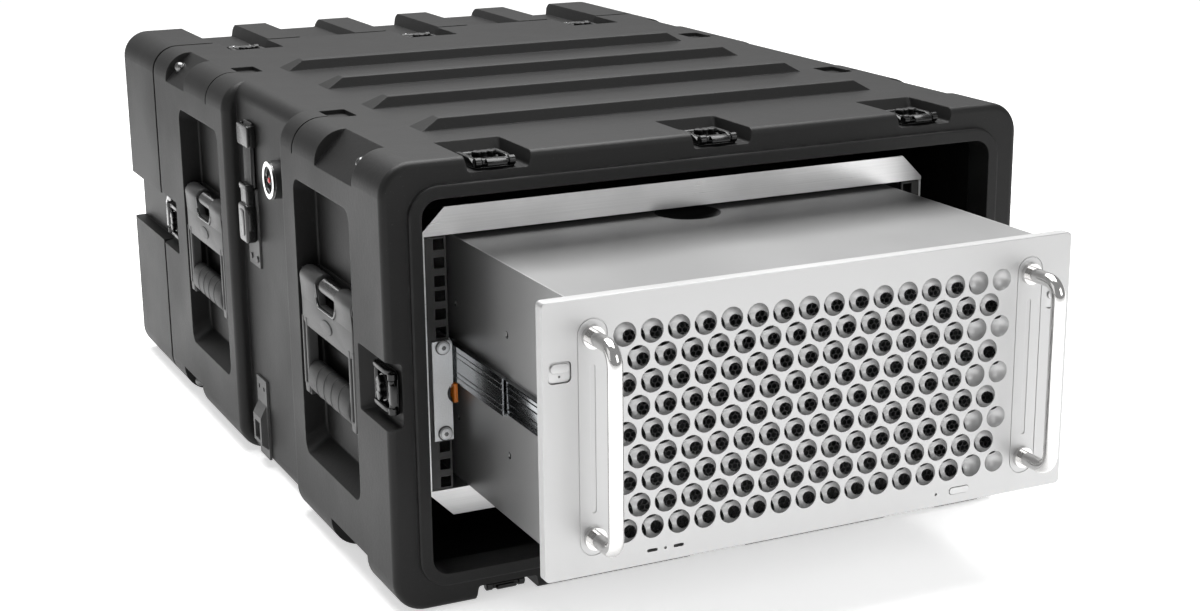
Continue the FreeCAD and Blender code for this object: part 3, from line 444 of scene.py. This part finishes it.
def latch_base_mesh():
    """Base plate with cheeks, hinge barrels, rivets and the draw hook."""
    s = Solids()
    s.prism(rounded(-18.5, 18.5, -23, 22, 3), "Z", 0, 1.6, 0.5)
    cheek = [(-21, 1.2), (-21, 5.0), (-17, 8.2), (10, 8.2), (15, 6.4), (19.5, 4.6), (19.5, 1.2)]
    for side in (-1, 1):
        low, high = sorted((side * 13.6, side * 18.2))
        s.prism(cheek, "X", low, high, 1.0, 3)
        low, high = sorted((side * 11.4, side * 17.8))
        s.lathe([(3.0, low), (4.1, low + 0.8), (4.1, high - 0.8), (3.0, high)], (0, 21.5, 5.2), (1, 0, 0), 28)
        s.lathe([(2.6, 1.5), (2.6, 2.3), (1.9, 3.1), (0.8, 3.4)], (side * 8.5, -18.5, 0), (0, 0, 1), 20)
    s.lathe([(2.6, -11.8), (3.3, -11.0), (3.3, 11.0), (2.6, 11.8)], (0, 21.5, 5.2), (1, 0, 0), 28)
    hook = [(20.5, 7.2), (20.5, 8.6), (26.0, 8.4), (28.6, 6.6), (29.0, 3.6), (27.6, 3.4), (27.0, 5.6),
            (25.2, 7.0)]
    s.prism(hook, "X", -8.6, 8.6, 0.5)
    s.prism(rounded(-9.5, 9.5, 12.8, 19.0, 1.4), "Z", 2.2, 6.6, 0.8, 3)
    s.lathe([(2.2, -13.8), (2.9, -13.0), (2.9, 13.0), (2.2, 13.8)], (0, -15.5, 4.6), (1, 0, 0), 24)
    s.prism(rounded(-11.0, 11.0, -22.0, -16.5, 1.2), "Z", 1.4, 4.4, 0.8)
    s.lathe([(4.0, 1.4), (4.0, 2.6), (3.4, 3.2)], (0, 0, 0), (0, 0, 1), 28)
    s.lathe([(1.5, 3.0), (1.5, 8.2), (1.1, 8.8)], (0, 0, 0), (0, 0, 1), 20)
    return s.mesh("latch_base", LATCH)


def latch_wing_mesh():
    """Round cam plate and a butterfly grip of two raised lobes."""
    s = Solids()
    ring = [(1.75, 3.7), (11.6, 3.7), (12.0, 4.2), (12.0, 5.6), (11.3, 6.2), (1.75, 6.2)]
    turned = bmesh.new()
    steps = 48
    angles = [2 * math.pi * i / steps for i in range(steps)]
    loops = [[turned.verts.new((r * math.cos(t), r * math.sin(t), h)) for t in angles] for r, h in ring]
    for a, b in zip(loops, loops[1:] + loops[:1]):
        for i in range(steps):
            k = (i + 1) % steps
            turned.faces.new((a[i], a[k], b[k], b[i]))
    s.take(turned)
    for side in (-1, 1):
        lobe = [(side * (2.0 + 8.8 * u), (2.1 + 3.4 * math.sin(math.pi * min(u * 1.25, 1.0)) ** 0.8) * v)
                for u, v in ((0, 1), (0.2, 1), (0.45, 1), (0.7, 1), (0.9, 0.9), (1.0, 0.45), (1.0, -0.45),
                             (0.9, -0.9), (0.7, -1), (0.45, -1), (0.2, -1), (0, -1))]
        s.prism(lobe, "Z", 5.8, 10.6, 1.0, 3)
    s.lathe([(4.4, 5.8), (4.4, 9.8), (3.8, 10.4)], (0, 0, 0), (0, 0, 1), 28)
    return s.mesh("latch_wing", LATCH)


def keeper_mesh():
    """Bright keeper with a wavy outline, a raised catch and two domed screw heads. X across, Y away from the
    rim.
    """
    s = Solids()
    outline = []
    steps = 48
    for i in range(steps + 1):
        u = -18.5 + 37.0 * i / steps
        outline.append((u, 24.0 - 3.2 * math.cos(2 * math.pi * u / 18.5)))
    s.prism([(18.5, 3.0), (-18.5, 3.0)] + outline, "Z", 0, 1.8, 0.5)
    s.prism([(3.0, 1.2), (3.0, 6.4), (4.4, 7.2), (6.4, 6.0), (8.6, 1.2)], "X", -12.5, 12.5, 0.6)
    for side in (-1, 1):
        s.lathe([(3.3, 1.6), (3.3, 2.2), (2.6, 2.9), (1.2, 3.0)], (side * 11.0, 16.5, 0), (0, 0, 1), 24)
    return s.mesh("latch_keeper", KEEPER)


def face_frame(centre, outward, towards_rim):
    """Placement of a latch drawing on a face of the case."""
    z, y = Vector(outward), Vector(towards_rim)
    turn = Matrix((y.cross(z), y, z)).transposed().to_4x4()
    return Matrix.Translation(centre) @ turn @ Matrix.Scale(MM, 4)


def dress_latches():
    """Base, wing and keeper of each latch, placed from its wing's box."""
    base, wing, keeper = latch_base_mesh(), latch_wing_mesh(), keeper_mesh()
    wings = sorted(n for n in NODES if n.startswith("latch_wing_"))
    keepers = 0
    for order, name in enumerate(wings):
        low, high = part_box(name)
        spot = name[len("latch_wing_"):]
        end, face = spot.split("_")[:2]
        outward = {"top": (0, 0, 1), "bottom": (0, 0, -1), "left": (-1, 0, 0), "right": (1, 0, 0)}[face]
        rim = (0, -1, 0) if end == "front" else (0, 1, 0)
        out = Vector(outward)
        axis = max(range(3), key=lambda i: abs(out[i]))
        floor = (low + high) / 2
        floor[axis] = (low[axis] - WING_LIFT * MM) if out[axis] > 0 else (high[axis] + WING_LIFT * MM)
        place = face_frame(floor, outward, rim)
        add_piece("draw_latch_" + spot, base, "case",
                  ["latch_bases"] if order == 0 else [], place)
        add_piece("wing_grip_" + spot, wing, name, [name], place)
        if end == "rear":
            seam = floor + Vector(rim) * KEEPER_REACH * MM
            add_piece("keeper_plate_" + spot, keeper, "lid",
                      ["latch_keepers"] if keepers == 0 else [], face_frame(seam, outward, rim))
            keepers += 1


# ---------------------------------------------------------------- cargo handles
# Drawn about the pin: X out of the pocket, Y along the pin, Z up.
PIN_X, PIN_Z = 0.2955, 0.240    # the pins' distance from the middle plane and height, in metres
ARM_RAIL = 4.6                  # width of the raised rails on each arm


def handle_fairing_mesh(side):
    """Hoods over the hinge knuckles, plate with a blank oval, and rails on the arms."""
    s = Solids()
    arc = [(9.6 * math.cos(math.radians(a)), 9.6 * math.sin(math.radians(a))) for a in range(120, -21, -12)]
    inner = [(8.0 * math.cos(math.radians(a)), 8.0 * math.sin(math.radians(a))) for a in range(-20, 121, 14)]
    for low, high in ((-69.5, -26.5), (26.5, 69.5)):
        s.prism(arc + [(9.0, -9.0), (8.6, -18.0), (6.8, -18.0), (7.2, -8.0)] + inner, "Y", low, high, 0.5)
    plate = [(-69.5, -12), (-27, -12), (-21, -18.5), (21, -18.5), (27, -12), (69.5, -12), (69.5, -39),
             (60, -43.5), (-60, -43.5), (-69.5, -39)]
    s.prism(plate, "X", 5.0, 8.6, 1.0, 3)
    s.prism(oval((0, -31), 15, 6.2), "X", 8.0, 9.6, 0.7, 3)
    for end in (-1, 1):
        low, high = sorted((end * 56.8, end * 71.3))
        s.prism([(low, -36), (low + ARM_RAIL, -36), (low + ARM_RAIL, -101), (low, -99)], "X",
                6.0, 9.0, 1.0, 3)
        s.prism([(high - ARM_RAIL, -36), (high, -36), (high, -99), (high - ARM_RAIL, -101)], "X",
                6.0, 9.0, 1.0, 3)
        s.prism([(low + 0.2, -98), (high - 0.2, -98), (high - 2.5, -107.5), (low + 2.5, -107.5)], "X",
                5.0, 8.8, 1.0, 3)
    mesh = s.mesh("handle_fairing", HANDLE)
    mesh.transform(Matrix.Diagonal((side, 1, 1, 1)))
    if side < 0:
        mesh.flip_normals()
    return mesh


def notch_rim_mesh(side):
    """Dark bright-edged trim round the notch that shows the spring."""
    s = Solids()
    path = [(8.4, -26.5, 2), (8.6, -26.5, -10), (8.8, -24.5, -14.5), (8.8, -20, -17.4), (8.8, 20, -17.4),
            (8.8, 24.5, -14.5), (8.6, 26.5, -10), (8.4, 26.5, 2)]
    s.tube([(x * side, y, z) for x, y, z in path], 1.1)
    return s.mesh("notch_rim", SPRING)


def grip_mesh(side):
    """Oval sleeve with four thin curved ridges and rounded ends."""
    half, steps = 56.3, 36
    ridges = (-30, -10, 10, 30)
    stations = [-half, -half + 0.6, -half + 2.0]
    for ridge in ridges:
        stations += [ridge - 1.3, ridge - 0.9, ridge - 0.5, ridge + 0.5, ridge + 0.9, ridge + 1.3]
    stations += [half - 2.0, half - 0.6, half]
    rings = []
    for i, y in enumerate(stations):
        grow = 0.0
        if any(abs(abs(y - ridge) - 0.5) < 0.1 for ridge in ridges):
            grow = 0.55
        elif any(abs(abs(y - ridge) - 0.9) < 0.1 for ridge in ridges):
            grow = 0.35
        if i in (0, len(stations) - 1):
            grow = -1.6
        elif i in (1, len(stations) - 2):
            grow = -0.5
        bow = 3.0 * (1 - (y / half) ** 2)
        ring = []
        for k in range(steps):
            t = 2 * math.pi * k / steps
            ring.append((side * (1.0 + (10.0 + grow) * math.cos(t)), y + bow * math.sin(t) ** 2,
                         -91.0 + (15.2 + grow) * math.sin(t)))
        rings.append(ring)
    s = Solids()
    s.loft(rings)
    return s.mesh("hand_grip", GRIP)


def dress_handles():
    """Fairing, notch trim and sleeve of the four handles, which hang straight down at rest."""
    for side, word in ((-1, "left"), (1, "right")):
        fairing, trim, grip = handle_fairing_mesh(side), notch_rim_mesh(side), grip_mesh(side)
        for end in ("front", "rear"):
            spot = end + "_" + word
            low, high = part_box("handle_" + spot)
            place = Matrix.Translation((side * PIN_X, (low.y + high.y) / 2, PIN_Z)) @ Matrix.Scale(MM, 4)
            add_piece("handle_fairing_" + spot, fairing, "handle_" + spot, (), place)
            add_piece("notch_rim_" + spot, trim, "handle_" + spot, (), place)
            add_piece("hand_grip_" + spot, grip, "handle_" + spot, ["grip_" + spot], place)


# ---------------------------------------------------------------- hexagonal mesh behind the grille
def hex_mesh_piece():
    """Perforated sheet: hexagonal cells with thin strands between them."""
    low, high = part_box("grille_mesh")
    pitch, strand = 4.7, 0.75
    size = pitch / math.sqrt(3)
    rows = int((high.z - low.z) / MM / (1.5 * size))
    cols = int((high.x - low.x) / MM / pitch) - 1
    y0, y1 = (low.y - SHELL_LOW.y) / MM, (high.y - SHELL_LOW.y) / MM
    x_start, z_start = low.x / MM + pitch, low.z / MM + size
    verts, faces, index, edges = [], [], {}, {}

    def vertex(x, y, z):
        key = (round(x, 2), round(y, 2), round(z, 2))
        if key not in index:
            index[key] = len(verts)
            verts.append((x * MM, SHELL_LOW.y + y * MM, z * MM))
        return index[key]

    for row in range(rows):
        for col in range(cols):
            cx = x_start + col * pitch + (pitch / 2 if row % 2 else 0)
            cz = z_start + row * 1.5 * size
            outer, inner = [], []
            for k in range(6):
                t = math.radians(30 + 60 * k)
                reach = size - strand / math.sqrt(3)
                outer.append((cx + size * math.cos(t), cz + size * math.sin(t)))
                inner.append((cx + reach * math.cos(t), cz + reach * math.sin(t)))
            fo = [vertex(x, y0, z) for x, z in outer]
            fi = [vertex(x, y0, z) for x, z in inner]
            bo = [vertex(x, y1, z) for x, z in outer]
            bi = [vertex(x, y1, z) for x, z in inner]
            for k in range(6):
                n = (k + 1) % 6
                faces.append((fo[k], fo[n], fi[n], fi[k]))
                faces.append((bo[n], bo[k], bi[k], bi[n]))
                faces.append((fi[k], fi[n], bi[n], bi[k]))
                pair = frozenset((fo[k], fo[n]))
                edges[pair] = None if pair in edges else (fo[k], fo[n], bo[n], bo[k])
    faces += [(a, d, c, b) for a, b, c, d in (q for q in edges.values() if q)]
    mesh = bpy.data.meshes.new("hex_screen")
    mesh.from_pydata(verts, [], faces)
    bm = bmesh.new()
    bm.from_mesh(mesh)
    bmesh.ops.recalc_face_normals(bm, faces=bm.faces)
    bm.to_mesh(mesh)
    bm.free()
    mesh.materials.append(MESH_BLACK)
    add_piece("hex_screen", mesh, "rack_unit", ["grille_mesh"], Matrix.Identity(4))


# ---------------------------------------------------------------- straps
VALLEY_X = -291.0    # face of the valley on the left side


def strap_meshes(y, side):
    """Buckle set and doubled webbing, drawn on the left and mirrored for the right side."""
    x = VALLEY_X
    s = Solids()
    s.prism(rounded(y - 18, y + 18, 326, 347, 3.0), "X", x - 9.0, x - 5.6, 1.0, 3)
    for a, b in ((y - 18, y - 13.6), (y + 13.6, y + 18)):
        s.block(x - 7, x - 0.1, a, b, 326, 347, 0.8)
    s.prism(rounded(y - 13.4, y + 13.4, 231, 270, 5.5), "X", x - 13.0, x - 2.2, 2.6, 4)
    s.prism(rounded(y - 10.2, y + 10.2, 266, 288, 2.2), "X", x - 10.6, x - 2.4, 1.6, 3)
    s.prism(rounded(y - 11.6, y + 11.6, 283, 289, 1.2), "X", x - 11.4, x - 2.4, 1.2, 3)
    for end in (-1, 1):
        a, b = sorted((y + end * 10.6, y + end * 14.4))
        s.prism(rounded(a, b, 244, 262, 1.6), "X", x - 10.2, x - 5.2, 1.0, 3)
    s.prism(rounded(y - 7.0, y + 7.0, 238, 264, 3.0), "X", x - 13.7, x - 12.4, 0.5, 2)
    w = Solids()
    lean = (Matrix.Translation((x, y, 318)) @ Matrix.Rotation(math.radians(1.8), 4, "X")
            @ Matrix.Translation((-x, -y, -318)))
    w.block(x - 3.0, x - 1.4, y - 12.2, y + 12.2, 286, 349, 0.4)
    w.block(x - 5.0, x - 3.3, y - 12.2, y + 12.2, 286, 341, 0.4, 2, lean)
    if side > 0:
        for solids in (s, w):
            solids.bm.transform(Matrix.Diagonal((-1, 1, 1, 1)))
    return s.mesh("strap_buckle_set", BUCKLE), w.mesh("strap_band", WEBBING)


def dress_strap():
    """Loop block, doubled webbing and a side-release buckle on each side that the CAD has them."""
    low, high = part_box("strap_buckles")
    y = ((low.y + high.y) / 2 - MID_Y) / MM
    sides = [(-1, "left")] + ([(1, "right")] if high.x > 0 else [])
    for side, word in sides:
        buckle, band = strap_meshes(y, side)
        buckle_nodes, band_nodes = (["strap_buckles"], ["strap_webbing"]) if side < 0 else ([], [])
        add_piece("strap_buckle_set_" + word, buckle, "case", buckle_nodes)
        add_piece("strap_band_" + word, band, "case", band_nodes)


# ---------------------------------------------------------------- rack unit, valve and slides
RIVET_BEHIND_PANEL = (118.0, 229.0)
RIVET_HEIGHTS = (138.0, 240.0)
MIDDLE_FACE, INNER_FACE = 222.1, 216.3    # x of the slide faces that carry ridges
INNER_PLATE = (216.4, 219.3)              # x range of the plate over the inner slide's channel
INNER_PLATE_LENGTH = 300
SCREW_X = 232.55                          # x of the rails' hole columns
RECESS_BEHIND_FRONT = 215.0               # from the cover's front edge to the recess's centre


def dress_chassis():
    """Half-sheared rivets on the chassis sides: a dark disc of painted shade in place of the shaded dimple,
    with a bright lip.
    """
    panel_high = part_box("front_panel")[1]
    tray_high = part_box("chassis_tray")[1]
    dimple_shade, lips = Solids(), Solids()
    for side in (-1, 1):
        for dy in RIVET_BEHIND_PANEL:
            for z in RIVET_HEIGHTS:
                centre = (side * tray_high.x / MM, (panel_high.y - MID_Y) / MM + dy, z)
                # painted shade: a flat dark disc stands in for the shade inside each dimple
                dimple_shade.lathe([(3.1, -0.4), (3.1, 0.12), (2.9, 0.2)], centre, (side, 0, 0), 24)
                centre = (centre[0], centre[1] + 0.9, z + 0.6)
                lips.lathe([(1.9, -0.2), (1.9, 0.5), (1.2, 0.8)], centre, (side, 0, 0), 20)
    add_piece("rivet_dimple_shade", dimple_shade.mesh("rivet_dimple_shade", BOLT), "rack_unit")
    add_piece("rivet_lips", lips.mesh("rivet_lips", CHASSIS), "rack_unit")


def dress_valve():
    """Black push hub with a small red eye, sunk in the bright ring."""
    low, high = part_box("valve_button")
    centre = (high.x / MM, ((low.y + high.y) / 2 - MID_Y) / MM, (low.z + high.z) / 2 / MM)
    hub = Solids()
    hub.lathe([(4.6, 0.0), (4.6, 6.4), (4.0, 7.0)], centre, (-1, 0, 0), 32)
    add_piece("valve_hub", hub.mesh("valve_hub", VALVE), "valve_button", ["valve_button"])
    eye = Solids()
    eye.lathe([(2.7, 6.6), (2.7, 7.5), (2.1, 8.1), (0.8, 8.3)], centre, (-1, 0, 0), 24)
    add_piece("valve_eye", eye.mesh("valve_eye", VALVE_RED), "valve_button")


def dress_slides():
    """Lengthwise stamped ridges on the slide members."""
    for node, body, x, heights, radius in (
            ("slide_middle", "slide_middle", MIDDLE_FACE, (-11.0, -6.5, 6.5, 11.0), 0.55),
            ("slide_inner", "rack_unit", INNER_FACE, (-7.0, 7.0), 1.0)):
        low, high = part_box(node)
        y0, y1 = (low.y - MID_Y) / MM + 1.5, (high.y - MID_Y) / MM - 1.5
        if node == "slide_inner":
            y0 += 12.0
        s = Solids()
        for side in (-1, 1):
            for dz in heights:
                z = RACK_MID + dz
                s.tube([(side * x, y0, z), (side * x, y1, z)], radius, 10)
        add_piece(node + "_ridges", s.mesh(node + "_ridges", SLIDE), body)


def dress_slide_fronts():
    """Plate over each inner slide's channel, with small bright squares in place of its holes."""
    low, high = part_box("slide_inner")
    y0 = (low.y - MID_Y) / MM + 9.0
    face, marks = Solids(), Solids()
    for side in (-1, 1):
        x0, x1 = sorted(side * x for x in INNER_PLATE)
        face.block(x0, x1, y0, y0 + INNER_PLATE_LENGTH, 177.0, 203.0, 0.7)
        for dz in (-9.5, -4.0, 4.0, 9.5):
            z = RACK_MID + dz
            face.tube([(side * 219.2, y0 + 12, z), (side * 219.2, y0 + 296, z)], 0.6, 10)
        for dz in (-9.0, -3.0, 3.0, 9.0):
            a, b = sorted((side * 219.1, side * 219.5))
            marks.block(a, b, y0 + 3.0, y0 + 6.4, 188.3 + dz, 191.7 + dz, 0.1)
    add_piece("slide_inner_face", face.mesh("slide_inner_face", SLIDE), "rack_unit")
    add_piece("slide_inner_holes", marks.mesh("slide_inner_holes", KEEPER), "rack_unit")


def dress_bracket_screws():
    """Dark ring and bright head of each bracket screw, on the rails' hole columns, and a dark hexagon on the
    head: painted shade standing in for the hollow socket.
    """
    low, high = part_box("bracket_screws")
    front = (low.y - MID_Y) / MM
    rings, heads, socket_shade = Solids(), Solids(), Solids()
    for side in (-1, 1):
        for z in (RACK_BOTTOM + RACK_UNIT + 6.35, RACK_BOTTOM + 2 * RACK_UNIT + 38.1):
            centre = (side * SCREW_X, front, z)
            rings.lathe([(6.6, -1.9), (6.6, -1.6), (6.3, -1.4)], centre, (0, -1, 0), 28)
            heads.lathe([(5.0, -1.5), (5.0, 0.4), (4.5, 0.8), (3.2, 0.9)], centre, (0, -1, 0), 28)
            # painted shade: a dark hexagon standing a little proud of the head takes the place of the shaded
            # socket hollow
            socket_shade.lathe([(2.1, 0.4), (2.1, 1.0), (1.9, 1.05)], centre, (0, -1, 0), 6)
    add_piece("screw_rings", rings.mesh("screw_rings", BOLT), "case")
    add_piece("screw_heads", heads.mesh("screw_heads", BRACKET), "case")
    add_piece("screw_socket_shade", socket_shade.mesh("screw_socket_shade", BOLT), "case")


def dress_recess():
    """Dark sheet of painted shade laid over the cover's finger recess."""
    low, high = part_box("chassis_cover")
    top = high.z / MM
    s = Solids()
    profile = [(0.5, -7.5), (8, -7.0), (14, -5.9), (20, -4.2), (25, -2.3), (29, -0.1), (29.2, -0.5),
               (25, -2.9), (14, -6.6), (0.5, -7.95)]
    # painted shade: a thin black dish follows the recess and darkens it
    s.lathe(profile, (0, (low.y - MID_Y) / MM + RECESS_BEHIND_FRONT, top), (0, 0, 1), 48)
    add_piece("recess_painted_shade", s.mesh("recess_painted_shade", MESH_BLACK), "rack_unit")


def dress_thumb_locks():
    """Catch plate in each window: a raised pill above and a small dark eye below."""
    face = (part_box("front_panel")[0].y - MID_Y) / MM
    for side, word in ((-1, "left"), (1, "right")):
        node = "thumb_lock_" + word
        low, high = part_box(node)
        x0, x1, z0, z1 = low.x / MM, high.x / MM, low.z / MM, high.z / MM
        mid = (z0 + z1) / 2
        s = Solids()
        s.prism(rounded(x0, x1, z0, z1, 3.6), "Y", face + 1.2, face + 8.0, 0.4)
        s.prism(rounded(x0 + 1.4, x1 - 1.4, mid - 0.3, z1 - 1.2, 3.2), "Y", face - 0.9, face + 1.6, 0.8, 3)
        add_piece("catch_plate_" + word, s.mesh("catch_plate_" + word, BUTTON), node, [node])
        eye = Solids()
        eye_place = ((x0 + x1) / 2, face + 1.2, z0 + 4.6)
        eye.lathe([(1.0, -0.3), (1.0, 0.1), (0.8, 0.2)], eye_place, (0, -1, 0), 20)
        add_piece("catch_eye_" + word, eye.mesh("catch_eye_" + word, BOLT), node)


dress_slides()
dress_slide_fronts()
dress_bracket_screws()
dress_recess()
dress_thumb_locks()
dress_latches()
dress_handles()
hex_mesh_piece()
dress_strap()
dress_valve()
dress_chassis()


# ---------------------------------------------------------------- stage, light and camera
def stage_material():
    r = Recipe("studio_floor")
    r.link(r.mix(r.span(r.noise(0.7), 0, 1), rgb(0.80), rgb(0.83)), r.shader.inputs["Base Color"])
    r.put("Roughness", 0.6)
    r.put("Emission Color", (1.0, 1.0, 1.0, 1.0))
    r.put("Emission Strength", 0.55)
    return r.material


def make_stage():
    bpy.ops.mesh.primitive_plane_add(size=60, location=(0, 0, -0.0005))
    floor = bpy.context.object
    floor.name = "studio_floor"
    floor.data.materials.append(stage_material())
    world = bpy.data.worlds.new("studio")
    world.use_nodes = True
    background = world.node_tree.nodes["Background"]
    background.inputs["Color"].default_value = (1.0, 1.0, 1.0, 1.0)
    background.inputs["Strength"].default_value = 0.36
    bpy.context.scene.world = world


def softbox(name, place, aim, size, power):
    light = bpy.data.lights.new(name, "AREA")
    light.shape = "RECTANGLE"
    light.size, light.size_y = size
    light.energy = power
    holder = bpy.data.objects.new(name, light)
    holder.location = place
    holder.rotation_euler = (Vector(aim) - Vector(place)).to_track_quat("-Z", "Y").to_euler()
    bpy.context.scene.collection.objects.link(holder)


def make_lights():
    softbox("top_softbox", (0.2, 0.5, 2.6), (0, 0, 0.2), (2.6, 2.6), 165)
    softbox("front_softbox", (1.3, -3.4, 1.9), (0.1, -0.3, 0.2), (1.8, 1.8), 30)
    softbox("left_softbox", (-3.2, -0.3, 1.5), (-0.2, 0, 0.2), (1.6, 2.2), 8)
    softbox("back_softbox", (0.4, 3.8, 1.6), (0, 0.3, 0.35), (4.0, 1.4), 6)


def make_camera():
    """Three-quarter view from the left of the open front, a little above the case."""
    azimuth, elevation, roll = (math.radians(a) for a in (-25.51, 15.46, -0.58))
    back = Vector((math.sin(azimuth) * math.cos(elevation), -math.cos(azimuth) * math.cos(elevation),
                   math.sin(elevation)))
    right = Vector((math.cos(azimuth), math.sin(azimuth), 0))
    up = back.cross(right)
    axis_x = math.cos(roll) * right + math.sin(roll) * up
    axis_y = -math.sin(roll) * right + math.cos(roll) * up
    camera = bpy.data.cameras.new("camera")
    camera.sensor_width = 36.0
    camera.lens = 60.24
    camera.clip_end = 100.0
    holder = bpy.data.objects.new("camera", camera)
    bpy.context.scene.collection.objects.link(holder)
    turn = Matrix((axis_x, axis_y, back)).transposed()
    holder.matrix_world = Matrix.Translation((-0.81046, -1.82663 + MID_Y, 0.68927)) @ turn.to_4x4()
    bpy.context.scene.camera = holder


make_stage()
make_lights()
make_camera()
scene = bpy.context.scene
scene.view_settings.view_transform = "Standard"
scene.view_settings.look = "None"
scene.view_settings.exposure = 0.0
